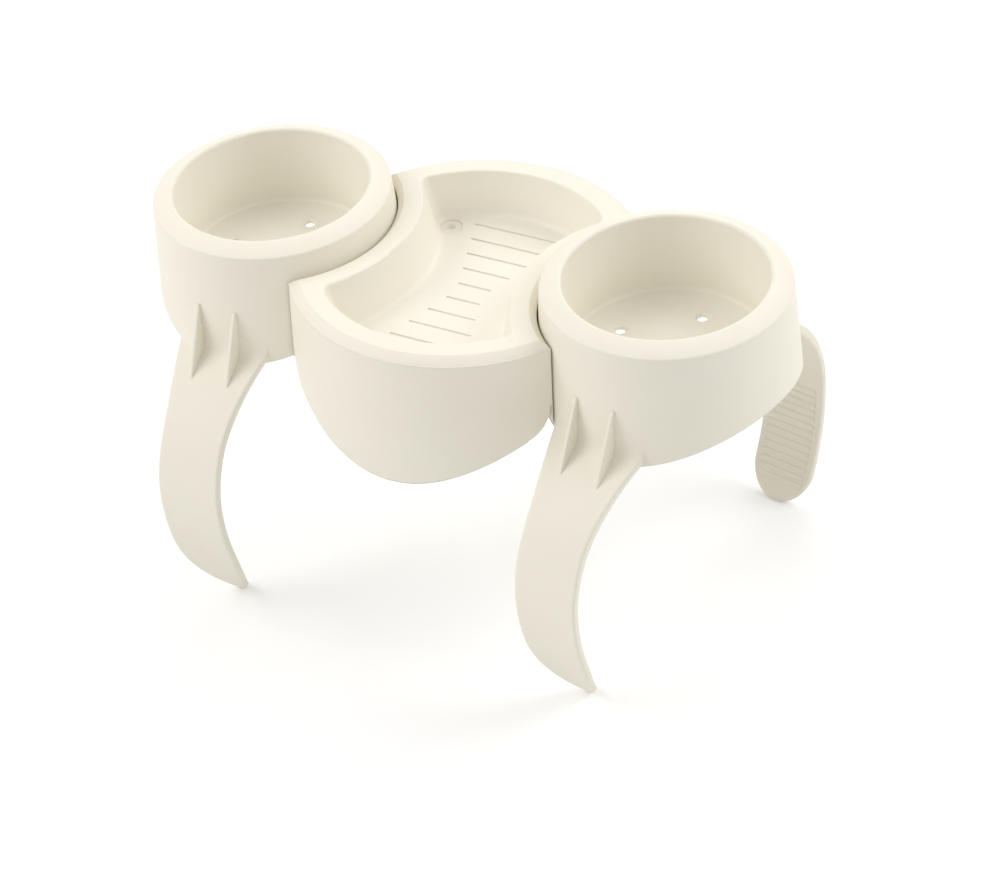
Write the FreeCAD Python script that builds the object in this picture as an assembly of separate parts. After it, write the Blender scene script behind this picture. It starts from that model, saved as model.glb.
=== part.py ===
import FreeCAD, Part
import math
import os

from FreeCAD import Placement, Rotation, Vector

# Hot tub tray that straddles the wall of an inflatable tub: a snack tray held
# between two cup holders, each moulded in one piece with its own pair of legs.
# Millimetres. Z is up, the feet stand on z = 0, X runs from the left cup holder
# to the right one, -Y is the claw side and +Y the paddle side. Shapes are drawn
# about the point midway between the cup axes, and at the end the whole is moved
# so that the origin lies on the floor under the middle of it.

# Whole assembly
rimHeight = 197.0        # floor to the top of the cup rims
cupSpacing = 208.8       # between the two cup axes
plasticWall = 2.6        # nominal moulded wall
leftTurn = 0.0           # how far each holder is turned about its own axis, degrees
rightTurn = -9.5

# Tub wall that the assembly straddles
archRadius = 120.0       # round top of the wall
archDrop = 47.0          # from the cup rims down to the top of the wall

# Cup pocket
pocketRadius = 47.5
pocketDepth = 41.5
pocketDraft = 1.3        # degrees
pocketFloorFillet = 2.0
pocketLipRound = 1.5
pocketFloorWall = 2.0
drainRadius = 2.6
drainCircle = 27.5
drainCount = 4
drainSinkWidth = 1.0     # countersink round each drain hole
drainSinkDepth = 0.5

# Cup rim band and skirt
bandWidth = 8.6          # flat to the eye, gently crowned
bandDrop = 3.8
bandCrown = 0.4
bandEdgeRound = 1.2
bandStep = 0.35          # small ledge between the band and the skirt
skirtDraft = 4.0         # degrees
skirtMargin = 25.0       # how far the skirt blank runs below its lowest point

# Leg straps
shoulderThickness = 5.2  # where the legs leave the skirt
shinThickness = 4.2
rootHalfWidth = 24.0
rootFillet = 9.0         # hollow between the skirt and the top of a leg
rootBlendDrop = 33.0     # height over which the root narrows to the strap
rootBlendTop = 0.9       # where that starts, as a share of the arch radius above its axis
rootOverlap = 12.0       # how far a leg runs in under the skirt
clawHug = 12.5           # how much nearer the claw comes than the round of the wall
clawRise = 45.0          # its outermost point above the axis of the wall's round top
clawCurl = 20.8          # lean of the line from there down to its tip, degrees
clawHalfWidth = 17.0
clawPointLength = 47.0   # the last stretch, which narrows to a point
clawTipRadius = 4.2
paddleHug = 9.2
paddleRise = 37.0
paddleCurl = 17.4
paddleHalfWidth = 17.0
strapEdgeRound = 1.5

# Gusset fins over the claw root
finSpacing = 20.0
finThickness = 2.0
finEdgeRound = 0.6
finTopDrop = 34.0
finFootReach = 76.0
finFootBlunt = 3.0       # how far the buried foot stops short of the visible one

# Grip ribs on the inner face of the paddle
ribCount = 14
ribPitch = 4.15
ribRadius = 1.5
ribProud = 0.6
ribHalfLength = 13.0
ribFirstHeight = 11.0    # lowest rib above the floor

# Snack tray
trayDrop = 14.6          # tray rim below the cup rims
trayBandRadius = 78.8    # outer edge of the flat rim band, front and rear
trayBevelWidth = 4.7
trayBevelDrop = 3.3
trayBevelCrown = 0.2
trayStep = 0.35          # ledge between the bevel and the apron
trayDraft = 3.5          # degrees, front and rear apron
trayMargin = 20.0        # how far the apron blank runs below its lowest point
traySideBand = 62.9      # the same edge beside the cups, from the cup axis
trayGap = 0.8            # between the tray sides and the cup skirts
trayPocketRadius = 69.5  # pocket mouth, front and rear
trayPocketSide = 72.3    # pocket mouth beside the cups, from the cup axis
trayPocketDepth = 23.8
trayEndSlope = 4.4       # how far the end walls lean in over the depth
traySideSlope = 5.5
trayCornerFillet = 5.0
trayFloorFillet = 3.2
trayMouthRound = 1.2
trayCornerRound = 20.0   # lower corners of the aprons, seen square on

# Drainage grooves and drain hole in the tray floor
groovePairs = 5
groovePitch = 11.7
grooveWidth = 1.0
grooveDepth = 0.5
grooveHalfLength = 8.8
grooveGrowth = 3.8       # each pair outward is longer by this at each end
trayDrainX = -34.3
trayDrainY = 46.7
trayDrainRadius = 2.0
trayDrainDishRadius = 5.5
trayDrainDishDepth = 0.4

# Hook of the tray in a window of each cup skirt
hookWidth = 22.0
hookThickness = 3.0
hookLip = 6.0            # how far the hook reaches down behind the skirt
hookLipThickness = 2.4
hookDrop = 36.0          # sill of the window below the cup rims
hookClearance = 0.3
hookSeatGap = 0.1        # hook above the sill
hookEmbed = 1.4          # root of the hook inside the tray wall
windowDepth = 16.0       # cutter through the skirt for the hook

big = 400.0              # longer than anything here
past = 1.0               # how far a cutter runs past what it cuts
tiny = 0.01              # tolerance when edges are picked by place
cornerPasses = 4         # each pass brings the corner of the apron closer

pocketFloor = rimHeight - pocketDepth
archAxisHeight = rimHeight - archDrop - archRadius
bandRadius = pocketRadius + pocketLipRound + bandWidth
skirtTopHeight = rimHeight - bandDrop - bandStep
skirtLow = archAxisHeight + math.sqrt(archRadius ** 2 - bandRadius ** 2) - skirtMargin
trayTop = rimHeight - trayDrop
trayCreaseHeight = trayTop - trayBevelDrop
trayFloor = trayTop - trayPocketDepth
hookSill = rimHeight - hookDrop
outerArch = archRadius + shoulderThickness
rootTop = archAxisHeight + archRadius * rootBlendTop
cupAxes = (("left_cup_holder", -cupSpacing / 2, leftTurn), ("right_cup_holder", cupSpacing / 2, rightTurn))


def skirtRadius(height):
    """Outer radius of the drafted cup skirt at a height."""
    return bandRadius + bandStep + (skirtTopHeight - height) * math.tan(math.radians(skirtDraft))


def pocketRadiusAt(height):
    return pocketRadius - (rimHeight - height) * math.tan(math.radians(pocketDraft))


def line(a, b):
    return Part.makeLine(Vector(*a), Vector(*b))


def bulge(a, b, sagitta):
    """Arc from a to b in the XZ plane, bowed to the left of its direction."""
    dx, dz = b[0] - a[0], b[2] - a[2]
    length = math.hypot(dx, dz)
    middle = ((a[0] + b[0]) / 2 - dz / length * sagitta, 0, (a[2] + b[2]) / 2 + dx / length * sagitta)
    return Part.Arc(Vector(*a), Vector(*middle), Vector(*b)).toShape()


def arcAbout(centre, radius, start, end):
    """Arc in the YZ plane about a centre (y, z), between two angles in radians."""
    def at(angle):
        return Vector(0, centre[0] + radius * math.cos(angle), centre[1] + radius * math.sin(angle))
    return Part.Arc(at(start), at((start + end) / 2), at(end)).toShape()


def turned(edges, x=0.0):
    """Solid of revolution of a closed profile about the upright axis at x."""
    solid = Part.Face(Part.Wire(edges)).revolve(Vector(0, 0, 0), Vector(0, 0, 1), 360)
    solid.translate(Vector(x, 0, 0))
    return solid


def turnedPolygon(points, x=0.0):
    """Solid of revolution of straight-sided (radius, height) points."""
    corners = [Vector(r, 0, z) for r, z in points]
    return turned(Part.makePolygon(corners + corners[:1]).Edges, x)


def tubWall():
    """The round-topped wall that every lower edge is cut to."""
    base = Vector(-big / 2, 0, archAxisHeight)
    return Part.makeCylinder(archRadius, big, base, Vector(1, 0, 0))


def cupShell():
    """Pocket, rim band and drafted skirt as one thin moulding, open beneath."""
    lipRadius = pocketRadius + pocketLipRound
    outer = turned([
        line((0, 0, skirtLow), (skirtRadius(skirtLow), 0, skirtLow)),
        line((skirtRadius(skirtLow), 0, skirtLow), (skirtRadius(skirtTopHeight), 0, skirtTopHeight)),
        line((skirtRadius(skirtTopHeight), 0, skirtTopHeight), (bandRadius, 0, rimHeight - bandDrop)),
        bulge((bandRadius, 0, rimHeight - bandDrop), (lipRadius, 0, rimHeight), -bandCrown),
        line((lipRadius, 0, rimHeight), (0, 0, rimHeight)),
        line((0, 0, rimHeight), (0, 0, skirtLow))])
    rim = [e for e in outer.Edges if abs(e.BoundBox.ZMax - rimHeight + bandDrop + bandStep) < tiny]
    outer = outer.makeFillet(bandEdgeRound, rim)

    lipLow = rimHeight - pocketLipRound
    floorRadius = pocketRadiusAt(pocketFloor)
    filletTop = pocketFloor + pocketFloorFillet
    roundSag = 1 - math.sqrt(0.5)
    pocket = turned([
        line((0, 0, pocketFloor), (floorRadius - pocketFloorFillet, 0, pocketFloor)),
        bulge((floorRadius - pocketFloorFillet, 0, pocketFloor), (pocketRadiusAt(filletTop), 0, filletTop),
              -pocketFloorFillet * roundSag),
        line((pocketRadiusAt(filletTop), 0, filletTop), (pocketRadiusAt(lipLow), 0, lipLow)),
        bulge((pocketRadiusAt(lipLow), 0, lipLow), (lipRadius, 0, rimHeight), pocketLipRound * roundSag),
        line((lipRadius, 0, rimHeight), (lipRadius, 0, rimHeight + past)),
        line((lipRadius, 0, rimHeight + past), (0, 0, rimHeight + past)),
        line((0, 0, rimHeight + past), (0, 0, pocketFloor))])

    below = skirtLow - past
    underFloor = pocketFloor - pocketFloorWall
    underBand = skirtTopHeight - plasticWall
    cavity = turnedPolygon([
        (0, below),
        (skirtRadius(below) - plasticWall, below),
        (skirtRadius(underBand) - plasticWall, underBand),
        (pocketRadiusAt(underBand) + plasticWall, rimHeight - plasticWall - pocketLipRound),
        (pocketRadiusAt(underFloor) + plasticWall, underFloor),
        (0, underFloor)])

    shell = outer.cut(pocket).cut(cavity).cut(tubWall())
    for i in range(drainCount):
        angle = math.radians(i * 360.0 / drainCount)
        at = Vector(drainCircle * math.cos(angle), drainCircle * math.sin(angle), underFloor - past)
        shell = shell.cut(Part.makeCylinder(drainRadius, pocketFloorWall + 2 * past, at))
        at.z = pocketFloor - drainSinkDepth
        shell = shell.cut(Part.makeCone(drainRadius, drainRadius + drainSinkWidth, drainSinkDepth, at))
    return shell


class Leg:
    """Sizes of one leg and the tangent arcs of its two faces."""

    def __init__(self, hug, rise, curl, halfWidth):
        self.reach = archRadius - hug
        self.rise = rise
        self.widest = archAxisHeight + rise
        self.halfWidth = halfWidth
        self.shinRadius = self.widest / math.sin(2 * math.radians(curl))

    def arcs(self, archR, inset):
        """Grip centre and radius, the angle where the arch hands over, shin centre and radius."""
        reach = self.reach - inset
        # the grip arc touches the arch from inside and stands upright at the reach
        gripR = (archR ** 2 - reach ** 2 - self.rise ** 2) / (2 * (archR - reach))
        gripCentre = (reach - gripR, self.widest)
        handOver = math.atan2(self.rise, gripCentre[0])
        shinR = self.shinRadius - inset
        return gripCentre, gripR, handOver, (reach - shinR, self.widest), shinR

    def face(self, archR, inset):
        """Chain of arcs from inside the skirt down to just below the floor."""
        gripCentre, gripR, handOver, shinCentre, shinR = self.arcs(archR, inset)
        start = math.acos((skirtRadius(skirtLow) - rootOverlap) / archR)
        last = -math.asin((self.widest + past) / shinR)
        return [arcAbout((0.0, archAxisHeight), archR, start, handOver),
                arcAbout(gripCentre, gripR, handOver, 0),
                arcAbout(shinCentre, shinR, 0, last)]

    def strap(self):
        """Side profile widened to a slab: it follows the tub wall, grips it and curls back in."""
        outside = self.face(outerArch, 0.0)
        inside = self.face(archRadius, shinThickness)
        root = Part.makeLine(inside[0].Vertexes[0].Point, outside[0].Vertexes[0].Point)
        tip = Part.makeLine(outside[-1].Vertexes[-1].Point, inside[-1].Vertexes[-1].Point)
        profile = Part.Wire(Part.__sortEdges__([root] + outside + [tip] + inside))
        slab = Part.Face(profile).extrude(Vector(2 * rootHalfWidth, 0, 0))
        slab.translate(Vector(-rootHalfWidth, 0, 0))
        return slab


claw = Leg(clawHug, clawRise, clawCurl, clawHalfWidth)
paddle = Leg(paddleHug, paddleRise, paddleCurl, paddleHalfWidth)


def rootEdge(halfWidth, side):
    """Concave edge from the broad root down to the strap, on one side."""
    top = rimHeight - archDrop
    spread = rootHalfWidth - halfWidth
    radius = (spread ** 2 + rootBlendDrop ** 2) / (2 * spread)
    half = math.asin(rootBlendDrop / radius) / 2
    lower = rootTop - rootBlendDrop
    middle = Vector(side * (halfWidth + radius * (1 - math.cos(half))), 0, lower + radius * math.sin(half))
    a = Vector(side * rootHalfWidth, 0, rootTop)
    b = Vector(side * halfWidth, 0, lower)
    crown = Vector(side * rootHalfWidth, 0, top)
    return [Part.makeLine(crown, a), Part.Arc(a, middle, b).toShape()], crown, b


def frontOutline(halfWidth, endEdges, endTop):
    """Outline of a leg seen from the front, as a prism through the whole depth."""
    left, crownLeft, lowLeft = rootEdge(halfWidth, -1)
    right, crownRight, lowRight = rootEdge(halfWidth, 1)
    edges = left + right + endEdges
    edges.append(Part.makeLine(crownLeft, crownRight))
    edges.append(Part.makeLine(lowLeft, Vector(-halfWidth, 0, endTop)))
    edges.append(Part.makeLine(lowRight, Vector(halfWidth, 0, endTop)))
    outline = Part.Face(Part.Wire(Part.__sortEdges__(edges)))
    return outline.extrude(Vector(0, big / 2, 0))


def clawEnd():
    """Two long arcs that meet in a small round point on the floor."""
    w, h, t = clawHalfWidth, clawPointLength, clawTipRadius
    # arcs tangent to the straight sides and to the tip circle
    radius = ((h - t) ** 2 + w ** 2 - t ** 2) / (2 * (w - t))
    lean = math.atan2(h - t, radius - w)
    touch = Vector(t * math.cos(lean), 0, t - t * math.sin(lean))
    middle = Vector(w - radius * (1 - math.cos(lean / 2)), 0, h - radius * math.sin(lean / 2))
    shoulder = Vector(w, 0, h)
    mirror = [Vector(-p.x, 0, p.z) for p in (shoulder, middle, touch)]
    return [Part.Arc(shoulder, middle, touch).toShape(),
            Part.Arc(touch, Vector(0, 0, 0), mirror[2]).toShape(),
            Part.Arc(*mirror).toShape()], h


def paddleEnd():
    """Half round as wide as the paddle."""
    w = paddleHalfWidth
    return [Part.Arc(Vector(w, 0, w), Vector(0, 0, 0), Vector(-w, 0, w)).toShape()], w


def softened(leg, halfWidth):
    """Rounds the long outline edges of a strap below its root."""
    rootLow = rootTop - rootBlendDrop
    edges = []
    for edge in leg.Edges:
        box = edge.BoundBox
        inWidth = max(-box.XMin, box.XMax) < halfWidth + tiny and box.XLength < 2 * halfWidth - tiny
        if inWidth and box.ZMax < rootLow + tiny and box.DiagonalLength > 2 * shinThickness:
            edges.append(edge)
    return leg.makeFillet(strapEdgeRound, edges)


def legSolid(leg, end):
    edges, endTop = end
    blank = leg.strap().common(frontOutline(leg.halfWidth, edges, endTop))
    core = Part.makeCylinder(skirtRadius(skirtLow) - 2 * plasticWall, big, Vector(0, 0, -big / 2))
    return softened(blank.cut(core), leg.halfWidth)


def paddleRibs():
    """Low half-round bars across the inner face, stepped along its curve."""
    gripCentre, gripR, handOver, shinCentre, shinR = paddle.arcs(archRadius, shinThickness)
    ribs = []
    angle = -math.asin((paddle.widest - ribFirstHeight) / shinR)
    for i in range(ribCount):
        centre, radius = (shinCentre, shinR) if angle < 0 else (gripCentre, gripR)
        depth = radius + ribRadius - ribProud
        y = centre[0] + depth * math.cos(angle)
        z = centre[1] + depth * math.sin(angle)
        at = Vector(-ribHalfLength, y, z)
        ribs.append(Part.makeCylinder(ribRadius, 2 * ribHalfLength, at, Vector(1, 0, 0)))
        angle += ribPitch / radius
    return ribs


def clawFins():
    """Two thin triangular gussets that prop the skirt on the claw."""
    top = rimHeight - finTopDrop
    foot = archAxisHeight + math.sqrt(outerArch ** 2 - finFootReach ** 2)
    inside = skirtRadius(top) - plasticWall / 2
    low = archAxisHeight + math.sqrt(outerArch ** 2 - inside ** 2) - shoulderThickness / 2
    buried = Vector(0, finFootReach - finFootBlunt, foot - shoulderThickness / 3)
    profile = Part.makePolygon([
        Vector(0, inside, top), Vector(0, skirtRadius(top), top), Vector(0, finFootReach, foot),
        buried, Vector(0, inside, low), Vector(0, inside, top)])
    fins = []
    for x in (-finSpacing / 2, finSpacing / 2):
        fin = Part.Face(profile).extrude(Vector(finThickness, 0, 0))
        fin.translate(Vector(x - finThickness / 2, 0, 0))
        sloping = [e for e in fin.Edges if e.BoundBox.XLength < tiny
                   and e.BoundBox.YMax > finFootReach - tiny and e.BoundBox.ZMax > top - tiny]
        fins.append(fin.makeFillet(finEdgeRound, sloping))
    return fins


def hookWindow(x):
    """Opening in a skirt for the tray hook, on the side that faces the tray."""
    toTray = -math.copysign(1, x)
    height = hookThickness + hookLip + 4 * hookClearance
    near = skirtRadius(hookSill) - windowDepth / 2
    box = Part.makeBox(windowDepth, hookWidth + 2 * hookClearance, height)
    start = near if toTray > 0 else -near - windowDepth
    box.translate(Vector(x + start, -hookWidth / 2 - hookClearance, hookSill))
    return box


def trayHook(x):
    """Hook that passes through the skirt window and drops behind the skirt."""
    toTray = -math.copysign(1, x)
    bottom = hookSill + hookSeatGap
    top = bottom + hookThickness
    lipLow = bottom - hookLip
    root = skirtRadius(bottom) + trayGap + hookEmbed

    def behind(height):
        return skirtRadius(height) - plasticWall - hookClearance
    ring = turnedPolygon([
        (root, bottom), (root, top), (behind(top) - hookLipThickness, top),
        (behind(lipLow) - hookLipThickness, lipLow), (behind(lipLow), lipLow), (behind(bottom), bottom)], x)
    span = Part.makeBox(2 * root, hookWidth, hookThickness + hookLip + 2 * past)
    span.translate(Vector(x if toTray > 0 else x - 2 * root, -hookWidth / 2, lipLow - past))
    return ring.common(span)


def isRootEdge(edge):
    """True for the edges where the top of a leg meets the skirt."""
    middle = edge.valueAt((edge.FirstParameter + edge.LastParameter) / 2)
    offSkirt = math.hypot(middle.x, middle.y) - skirtRadius(middle.z)
    offArch = math.hypot(middle.y, middle.z - archAxisHeight) - outerArch
    return abs(offSkirt) < tiny and abs(offArch) < tiny


def cupHolder(x, turn):
    """Cup shell, claw and paddle moulded as one piece."""
    half = Rotation(Vector(0, 0, 1), 180)
    front = legSolid(claw, clawEnd())
    front.Placement = Placement(Vector(0, 0, 0), half)
    holder = cupShell().fuse([front, legSolid(paddle, paddleEnd())]).removeSplitter()
    holder = holder.makeFillet(rootFillet, [e for e in holder.Edges if isRootEdge(e)])
    fins = Part.Compound(clawFins())
    fins.Placement = Placement(Vector(0, 0, 0), half)
    holder = holder.fuse(fins.Solids + paddleRibs()).removeSplitter()
    holder.Placement = Placement(Vector(x, 0, 0), Rotation(Vector(0, 0, 1), turn))
    return holder.cut(hookWindow(x))


def trayOutline(inset, top, low, x=0.0):
    """Drafted block between two cups: two bowed ends and two hollow sides, inset by a wall."""
    def endRadius(height):
        crease = trayBandRadius + trayBevelWidth + trayStep
        return crease + (trayCreaseHeight - height) * math.tan(math.radians(trayDraft)) - inset

    block = turnedPolygon([(0, low), (endRadius(low), low), (endRadius(top), top), (0, top)])
    for side in (-cupSpacing / 2, cupSpacing / 2):
        below, above = low - past, top + past
        r0 = skirtRadius(below) + trayGap + inset
        r1 = skirtRadius(above) + trayGap + inset
        block = block.cut(turnedPolygon([(0, below), (r0, below), (r1, above), (0, above)], side))
    return block


def trayRim():
    """Flat band with a crowned bevel down to a fine ledge over the apron."""
    creaseRadius = trayBandRadius + trayBevelWidth
    low = trayCreaseHeight - plasticWall
    below, above = low - past, trayTop + past
    rim = turned([
        line((0, 0, low), (creaseRadius, 0, low)),
        line((creaseRadius, 0, low), (creaseRadius, 0, trayCreaseHeight)),
        bulge((creaseRadius, 0, trayCreaseHeight), (trayBandRadius, 0, trayTop), -trayBevelCrown),
        line((trayBandRadius, 0, trayTop), (0, 0, trayTop)),
        line((0, 0, trayTop), (0, 0, low))])
    for side in (-cupSpacing / 2, cupSpacing / 2):
        edge = skirtRadius(trayCreaseHeight) + trayGap
        rim = rim.cut(turned([
            line((0, 0, below), (edge, 0, below)),
            line((edge, 0, below), (edge, 0, trayCreaseHeight)),
            bulge((edge, 0, trayCreaseHeight), (traySideBand, 0, trayTop), trayBevelCrown),
            line((traySideBand, 0, trayTop), (traySideBand, 0, above)),
            line((traySideBand, 0, above), (0, 0, above)),
            line((0, 0, above), (0, 0, below))], side))
    return rim


def trayPocket(grow, floor, top):
    """Bow-tie pocket with sloping walls; a positive grow gives its outer skin."""
    def endRadius(height):
        return trayPocketRadius - trayEndSlope * (trayTop - height) / trayPocketDepth + grow

    def sideRadius(height):
        return trayPocketSide + traySideSlope * (trayTop - height) / trayPocketDepth - grow

    pocket = turnedPolygon([(0, floor), (endRadius(floor), floor), (endRadius(top), top), (0, top)])
    for side in (-cupSpacing / 2, cupSpacing / 2):
        below, above = floor - past, top + past
        r0 = sideRadius(below)
        r1 = sideRadius(above)
        pocket = pocket.cut(turnedPolygon([(0, below), (r0, below), (r1, above), (0, above)], side))
    upright = [e for e in pocket.Edges if e.BoundBox.ZLength > top - floor - tiny]
    pocket = pocket.makeFillet(trayCornerFillet, upright)
    bottom = [e for e in pocket.Edges if e.BoundBox.ZMax < floor + tiny]
    return pocket.makeFillet(trayFloorFillet, bottom)


def cornerCutters():
    """Prisms that round the lower corners of the aprons, each square to the apron there."""
    crease = trayBandRadius + trayBevelWidth + trayStep
    low = trayCreaseHeight
    for step in range(cornerPasses):
        # where the apron, the hollow side and the round of the wall meet
        edge = crease + (trayCreaseHeight - low) * math.tan(math.radians(trayDraft))
        side = skirtRadius(low) + trayGap
        x = (edge ** 2 - side ** 2 + (cupSpacing / 2) ** 2) / cupSpacing
        y = math.sqrt(edge ** 2 - x ** 2)
        low = archAxisHeight + math.sqrt(archRadius ** 2 - y ** 2)
    bearing = math.degrees(math.atan2(y, x))
    slope = math.atan(y / (low - archAxisHeight) * x / edge)
    r = trayCornerRound
    middle = low + r * (1 - math.sin(slope)) / math.cos(slope)
    cutter = Part.makeBox(big, r * (1 - math.sin(slope)), 2 * r, Vector(edge / 2, 0, middle - 2 * r))
    cutter = cutter.cut(Part.makeCylinder(r, big, Vector(edge / 2, r, middle), Vector(1, 0, 0)))
    cutter.rotate(Vector(0, 0, 0), Vector(0, 0, 1), bearing)
    cutters = [cutter, cutter.mirror(Vector(0, 0, 0), Vector(1, 0, 0))]
    return cutters + [one.mirror(Vector(0, 0, 0), Vector(0, 1, 0)) for one in cutters]


def isMouthEdge(edge):
    """True for the edges round the pocket mouth, which lie inside the flat band."""
    middle = edge.valueAt((edge.FirstParameter + edge.LastParameter) / 2)
    fromCentre = math.hypot(middle.x, middle.y)
    fromCup = math.hypot(abs(middle.x) - cupSpacing / 2, middle.y)
    return fromCentre < trayPocketRadius + tiny and fromCup > trayPocketSide - tiny


def snackTray():
    """Rim, pocket, aprons and hooks moulded as one piece, open beneath."""
    low = archAxisHeight + math.sqrt(archRadius ** 2 - (trayBandRadius + trayBevelWidth) ** 2) - trayMargin
    outside = trayOutline(0.0, trayCreaseHeight, low).fuse(trayRim())
    inside = trayOutline(plasticWall, trayTop - plasticWall, low - past)
    tub = trayPocket(plasticWall, trayFloor - plasticWall, trayTop + past)
    tray = outside.cut(inside.cut(tub))
    tray = tray.cut(trayPocket(0.0, trayFloor, trayTop + past)).cut(tubWall()).cut(cornerCutters())

    mouth = [e for e in tray.Edges if e.BoundBox.ZMin > trayTop - tiny and isMouthEdge(e)]
    tray = tray.makeFillet(trayMouthRound, mouth)

    for i in range(groovePairs):
        y = (i + 0.5) * groovePitch
        half = grooveHalfLength + i * grooveGrowth
        for sign in (-1, 1):
            groove = Part.makeBox(2 * half, grooveWidth, grooveDepth + past)
            groove.translate(Vector(-half, sign * y - grooveWidth / 2, trayFloor - grooveDepth))
            tray = tray.cut(groove)

    drainAt = Vector(trayDrainX, trayDrainY, trayFloor - plasticWall - past)
    dishAt = Vector(trayDrainX, trayDrainY, trayFloor - trayDrainDishDepth)
    tray = tray.cut(Part.makeCylinder(trayDrainRadius, plasticWall + 2 * past, drainAt))
    tray = tray.cut(Part.makeCylinder(trayDrainDishRadius, trayDrainDishDepth + past, dishAt))
    return tray.fuse([trayHook(x) for name, x, turn in cupAxes])


def main():
    os.makedirs("parts", exist_ok=True)
    nodes = {name: cupHolder(x, turn) for name, x, turn in cupAxes}
    nodes["snack_tray"] = snackTray()
    whole = Part.Compound(list(nodes.values())).optimalBoundingBox(False, False)
    print("cup axes lie", round(-whole.Center.y, 3), "from the middle")
    for name, shape in nodes.items():
        solids = shape.Solids
        print(name, "solids", len(solids), "valid", shape.isValid(), "cm3", round(shape.Volume / 1000, 1))
        solid = solids[0] if len(solids) == 1 else shape
        solid.translate(Vector(-whole.Center.x, -whole.Center.y, -whole.ZMin))
        solid.exportStep("parts/" + name + ".step")


main()
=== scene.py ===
import math

import bpy
from mathutils import Matrix, Vector

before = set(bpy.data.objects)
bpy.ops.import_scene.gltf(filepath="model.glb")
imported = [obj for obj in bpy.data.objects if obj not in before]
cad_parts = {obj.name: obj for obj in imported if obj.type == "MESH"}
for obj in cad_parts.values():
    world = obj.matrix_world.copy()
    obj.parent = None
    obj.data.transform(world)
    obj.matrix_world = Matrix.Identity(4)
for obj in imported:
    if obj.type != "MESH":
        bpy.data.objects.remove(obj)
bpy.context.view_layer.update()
print("frame loaded:", sorted(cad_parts))

white = (1.0, 1.0, 1.0, 1.0)


class Channel:
    # wraps one output socket, so that expressions on it add Math nodes
    def __init__(self, tree, socket):
        self.tree = tree
        self.socket = socket

    def math(self, operation, other=0.0, swap=False, clamp=False):
        node = self.tree.nodes.new("ShaderNodeMath")
        node.operation = operation
        node.use_clamp = clamp
        pair = (other, self) if swap else (self, other)
        for slot, value in zip(node.inputs, pair):
            if isinstance(value, Channel):
                self.tree.links.new(value.socket, slot)
            else:
                slot.default_value = value
        return Channel(self.tree, node.outputs[0])

    def vector(self, operation, other):
        node = self.tree.nodes.new("ShaderNodeVectorMath")
        node.operation = operation
        self.tree.links.new(self.socket, node.inputs[0])
        node.inputs[1].default_value = other
        return Channel(self.tree, node.outputs["Vector"])

    def length(self):
        node = self.tree.nodes.new("ShaderNodeVectorMath")
        node.operation = "LENGTH"
        self.tree.links.new(self.socket, node.inputs[0])
        return Channel(self.tree, node.outputs["Value"])

    def __add__(self, other):
        return self.math("ADD", other)

    def __sub__(self, other):
        return self.math("SUBTRACT", other)

    def __mul__(self, other):
        return self.math("MULTIPLY", other)

    def __rsub__(self, other):
        return self.math("SUBTRACT", other, swap=True)

    __radd__ = __add__
    __rmul__ = __mul__


class Finish:
    # one material and its node tree
    def __init__(self, name):
        self.material = bpy.data.materials.new(name)
        self.material.use_nodes = True
        self.tree = self.material.node_tree
        self.tree.nodes.clear()
        self.output = self.tree.nodes.new("ShaderNodeOutputMaterial")

    def add(self, kind, settings=None, out=0, **values):
        # values name the sockets, with _ for a space, or i and a number where names repeat
        node = self.tree.nodes.new(kind)
        for key, setting in (settings or {}).items():
            setattr(node, key, setting)
        for key, value in values.items():
            numbered = key[0] == "i" and key[1:].isdigit()
            slot = node.inputs[int(key[1:]) if numbered else key.replace("_", " ")]
            if isinstance(value, Channel):
                self.tree.links.new(value.socket, slot)
            else:
                slot.default_value = value
        return Channel(self.tree, node.outputs[out])

    def mixColours(self, factor, first, second):
        return self.add("ShaderNodeMix", {"data_type": "RGBA"}, out=2, i0=factor, i6=first, i7=second)

    def surface(self, channel):
        self.tree.links.new(channel.socket, self.output.inputs["Surface"])
        return self.material


def toLinear(*shade):
    # 0-255 screen shade to a scene colour with alpha 1
    def one(c):
        c = c / 255
        return c / 12.92 if c <= 0.04045 else ((c + 0.055) / 1.055) ** 2.4
    return (*(one(c) for c in shade), 1.0)


ivory = {
    "outer": (toLinear(237, 231, 215), toLinear(241, 236, 222)),      # a touch warmer
    # the paler pocket tone below is painted light: it offsets the shade colour gathering inside the
    # pockets and is not the plastic's own colour
    "paintedPocketTone": (toLinear(238, 233, 219), toLinear(242, 238, 226)),  # insides of the pockets
    "cloud": {"Scale": 18.0, "Detail": 3.0, "Roughness": 0.55},       # slow drift between two shades
    "grain": {"Scale": 1500.0, "Detail": 2.0, "Roughness": 0.6},
    "sink": {"Scale": 16.0, "Detail": 1.0, "Roughness": 0.4},         # unevenness left by the mould
    "roughness": 0.46,
    "roughnessSpread": 0.08,
    "grainRoughness": 0.05,
    "sheen": 0.3,
    "edgeRound": 0.0006,       # metres, softened moulding edges
    "edgeSamples": 6,
    "sinkHeight": 0.0004,      # metres
    "sinkStrength": 1.0,
    "grainHeight": 0.00002,    # metres
    "grainStrength": 0.6,
    "pieceShift": (0.31, 0.17, 0.0),    # moves the clouds on from one moulding to the next
}

cupMiddle = (0.1044, -0.0016)    # axis of the right cup, the left one mirrored, metres

# pocket mouths inside which the paler tone is painted as light
pockets = {
    # node: (middle and radius of the pocket's mouth, radius of the cups' seats cut out of it)
    "left_cup_holder": ((-cupMiddle[0], cupMiddle[1]), 0.0486, None),
    "right_cup_holder": (cupMiddle, 0.0486, None),
    "snack_tray": ((0.0, cupMiddle[1]), 0.0697, 0.0721),
}

pocketEdge = 0.001    # metres over which the tone of a pocket gives way to that of the rim


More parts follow.
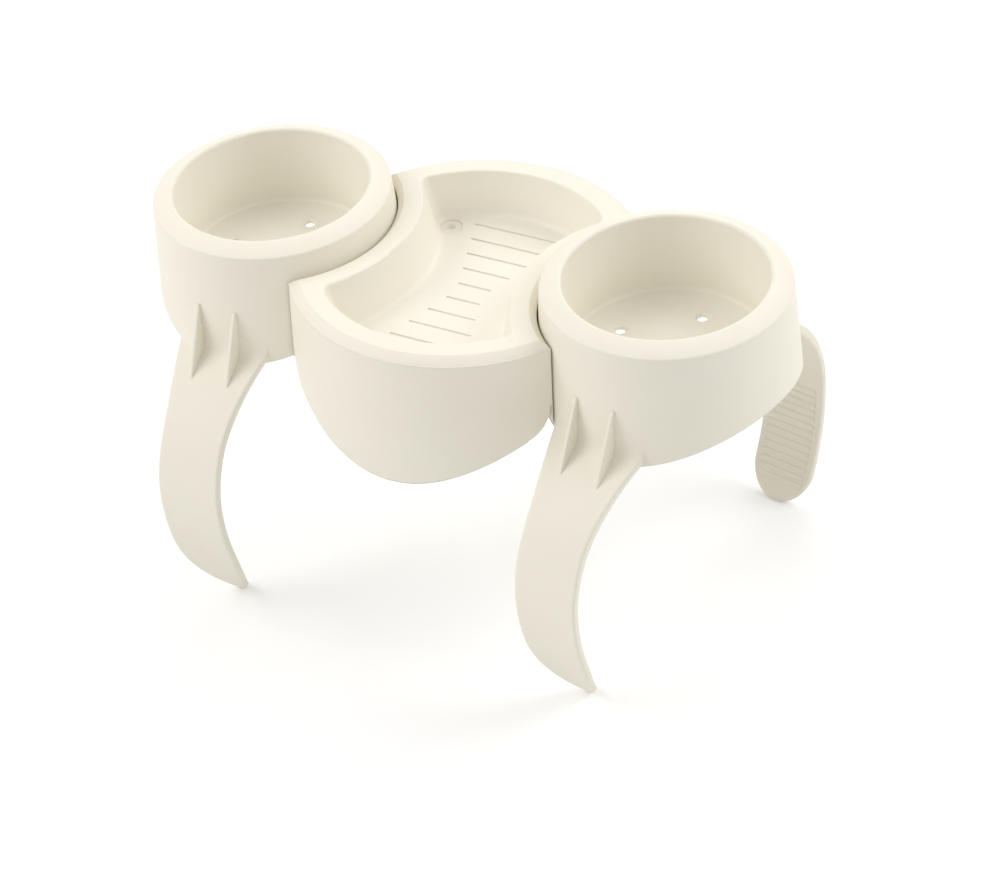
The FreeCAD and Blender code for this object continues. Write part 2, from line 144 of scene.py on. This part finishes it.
def within(place, middle, radius):
    # 1 inside an upright cylinder, 0 outside, with a soft edge
    flat = place.vector("SUBTRACT", (*middle, 0.0)).vector("MULTIPLY", (1.0, 1.0, 0.0))
    return ((radius - flat.length()) * (1 / pocketEdge) + 0.5).math("ADD", clamp=True)


def paintedPocketMask(place, middle, radius, seatRadius):
    # 1 inside a pocket, 0 elsewhere: the mask of the painted light, a paler tone laid in the pockets
    share = within(place, middle, radius)
    if seatRadius:
        for side in (-1, 1):
            seat = (side * cupMiddle[0], cupMiddle[1])
            share = share * (1 - within(place, seat, seatRadius))
    return share


def ivoryPlastic(name, shift, pocket):
    f = Finish(name)
    spot = f.add("ShaderNodeTexCoord", out="Object")
    place = f.add("ShaderNodeMapping", Vector=spot, Location=shift)
    cloud = f.add("ShaderNodeTexNoise", Vector=place, **ivory["cloud"])
    grain = f.add("ShaderNodeTexNoise", Vector=place, **ivory["grain"])
    sink = f.add("ShaderNodeTexNoise", Vector=place, **ivory["sink"])
    outer, paintedPocketTone = (f.mixColours(cloud, *ivory[where]) for where in ("outer", "paintedPocketTone"))
    # paint the paler tone inside the pockets: painted light, not a change in the plastic
    shade = f.mixColours(paintedPocketMask(spot, *pocket), outer, paintedPocketTone)
    spread = ivory["roughnessSpread"]
    rough = cloud * spread + (ivory["roughness"] - spread / 2) + (grain - 0.5) * ivory["grainRoughness"]
    soft = f.add("ShaderNodeBevel", {"samples": ivory["edgeSamples"]}, Radius=ivory["edgeRound"])
    slow = f.add("ShaderNodeBump", Height=sink, Distance=ivory["sinkHeight"],
                 Strength=ivory["sinkStrength"], Normal=soft)
    skin = f.add("ShaderNodeBump", Height=grain, Distance=ivory["grainHeight"],
                 Strength=ivory["grainStrength"], Normal=slow)
    return f.surface(f.add("ShaderNodeBsdfPrincipled", Base_Color=shade, Roughness=rough, Normal=skin,
                           Specular_IOR_Level=ivory["sheen"]))


for number, (name, node) in enumerate(sorted(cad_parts.items())):
    shift = [number * step for step in ivory["pieceShift"]]
    material = ivoryPlastic("ivory_" + name, shift, pockets[name])
    for slot in node.material_slots:
        slot.link = "OBJECT"
        slot.material = material
    for face in node.data.polygons:
        face.use_smooth = True
print("plastic laid on", len(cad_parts), "mouldings")

camera = {
    "azimuth": 30.78,    # degrees
    "elevation": 39.12,
    "roll": -5.61,
    "distance": 1.27397,
    "target": (0.0, -0.001627, 0.197),    # midway between the cup rims
    "aside": (-37.99, -216.13),    # where the target lies from the picture's middle, pixels
    "focal": 2732.11,              # pixels
    "pictureWidth": 1000,
    "sensor": 36.0,                # millimetres
    "clip": (0.05, 50.0),
}


def placeCamera(spec):
    azimuth, elevation, roll = (math.radians(spec[key]) for key in ("azimuth", "elevation", "roll"))
    back = Vector((math.sin(azimuth) * math.cos(elevation),
                   -math.cos(azimuth) * math.cos(elevation),
                   math.sin(elevation)))
    level = Vector((math.cos(azimuth), math.sin(azimuth), 0.0))
    upright = back.cross(level)
    right = level * math.cos(roll) + upright * math.sin(roll)
    up = upright * math.cos(roll) - level * math.sin(roll)
    asideRight, asideDown = (shift / spec["focal"] * spec["distance"] for shift in spec["aside"])
    seat = Vector(spec["target"]) + back * spec["distance"] - right * asideRight + up * asideDown
    lens = bpy.data.cameras.new("camera")
    lens.sensor_width = spec["sensor"]
    lens.lens = spec["focal"] / spec["pictureWidth"] * spec["sensor"]
    lens.clip_start, lens.clip_end = spec["clip"]
    body = bpy.data.objects.new("camera", lens)
    bpy.context.scene.collection.objects.link(body)
    body.matrix_world = Matrix((
        (right.x, up.x, back.x, seat.x),
        (right.y, up.y, back.y, seat.y),
        (right.z, up.z, back.z, seat.z),
        (0, 0, 0, 1)))
    bpy.context.scene.camera = body


placeCamera(camera)
print("camera placed")

studio = {
    "floorHalf": 6.0,
    "floorShade": (0.93, 0.93, 0.93, 1.0),
    "floorGlow": 0.16,       # lifts the lit paper to white for the camera alone
    "fade": (0.7, 1.6),      # metres from the middle over which the paper turns plain white
    "world": 0.6,
    "aim": (0.0, 0.0, 0.1),
}

lamps = {
    # name: (bearing from +X and height in degrees, distance and size in metres, watts)
    "softboxLeft": (211.0, 40.0, 2.2, 1.4, 18.8),
    "softboxRight": (31.0, 37.0, 2.2, 1.4, 15.4),
    "softboxBack": (95.0, 48.0, 2.2, 1.4, 10.8),
}


def layFloor(spec):
    half = spec["floorHalf"]
    corners = [(-half, -half, 0), (half, -half, 0), (half, half, 0), (-half, half, 0)]
    sheet = bpy.data.meshes.new("floor")
    sheet.from_pydata(corners, [], [range(len(corners))])
    floor = bpy.data.objects.new("floor", sheet)
    bpy.context.scene.collection.objects.link(floor)
    f = Finish("floor_paper")
    cameraRay = f.add("ShaderNodeLightPath", out="Is Camera Ray")
    paper = f.add("ShaderNodeBsdfDiffuse", Color=spec["floorShade"])
    glow = f.add("ShaderNodeEmission", Color=white, Strength=spec["floorGlow"])
    lifted = f.add("ShaderNodeAddShader", i0=paper, i1=glow)
    near, far = spec["fade"]
    away = f.add("ShaderNodeTexCoord", out="Object").length()
    share = f.add("ShaderNodeMapRange", {"interpolation_type": "SMOOTHSTEP"},
                  Value=away, From_Min=near, From_Max=far)
    plain = f.add("ShaderNodeEmission", Color=white, Strength=1.0)
    seen = f.add("ShaderNodeMixShader", i0=share, i1=lifted, i2=plain)
    sheet.materials.append(f.surface(f.add("ShaderNodeMixShader", i0=cameraRay, i1=paper, i2=seen)))


def hangLamp(name, bearing, height, distance, size, watts):
    turn, tilt = math.radians(bearing), math.radians(height)
    aim = Vector(studio["aim"])
    toLamp = Vector((math.cos(turn) * math.cos(tilt), math.sin(turn) * math.cos(tilt), math.sin(tilt)))
    light = bpy.data.lights.new(name, "AREA")
    light.shape = "SQUARE"
    light.size = size
    light.energy = watts
    lamp = bpy.data.objects.new(name, light)
    bpy.context.scene.collection.objects.link(lamp)
    lamp.location = aim + toLamp * distance
    lamp.rotation_mode = "QUATERNION"
    lamp.rotation_quaternion = toLamp.to_track_quat("Z", "Y")


def fillWorld(strength):
    world = bpy.data.worlds.new("world")
    bpy.context.scene.world = world
    world.use_nodes = True
    tree = world.node_tree
    tree.nodes.clear()
    path = tree.nodes.new("ShaderNodeLightPath")
    seen = Channel(tree, path.outputs["Is Camera Ray"])
    for kind in ("Is Glossy Ray", "Is Transmission Ray"):
        seen = seen.math("MAXIMUM", Channel(tree, path.outputs[kind]))
    level = seen * (1 - strength) + strength    # plain white to what looks at it, softer as light
    sky = tree.nodes.new("ShaderNodeBackground")
    sky.inputs["Color"].default_value = white
    out = tree.nodes.new("ShaderNodeOutputWorld")
    tree.links.new(level.socket, sky.inputs["Strength"])
    tree.links.new(sky.outputs["Background"], out.inputs["Surface"])


layFloor(studio)
for name, spec in lamps.items():
    hangLamp(name, *spec)
fillWorld(studio["world"])
bpy.context.scene.view_settings.view_transform = "Standard"
print("studio lit")
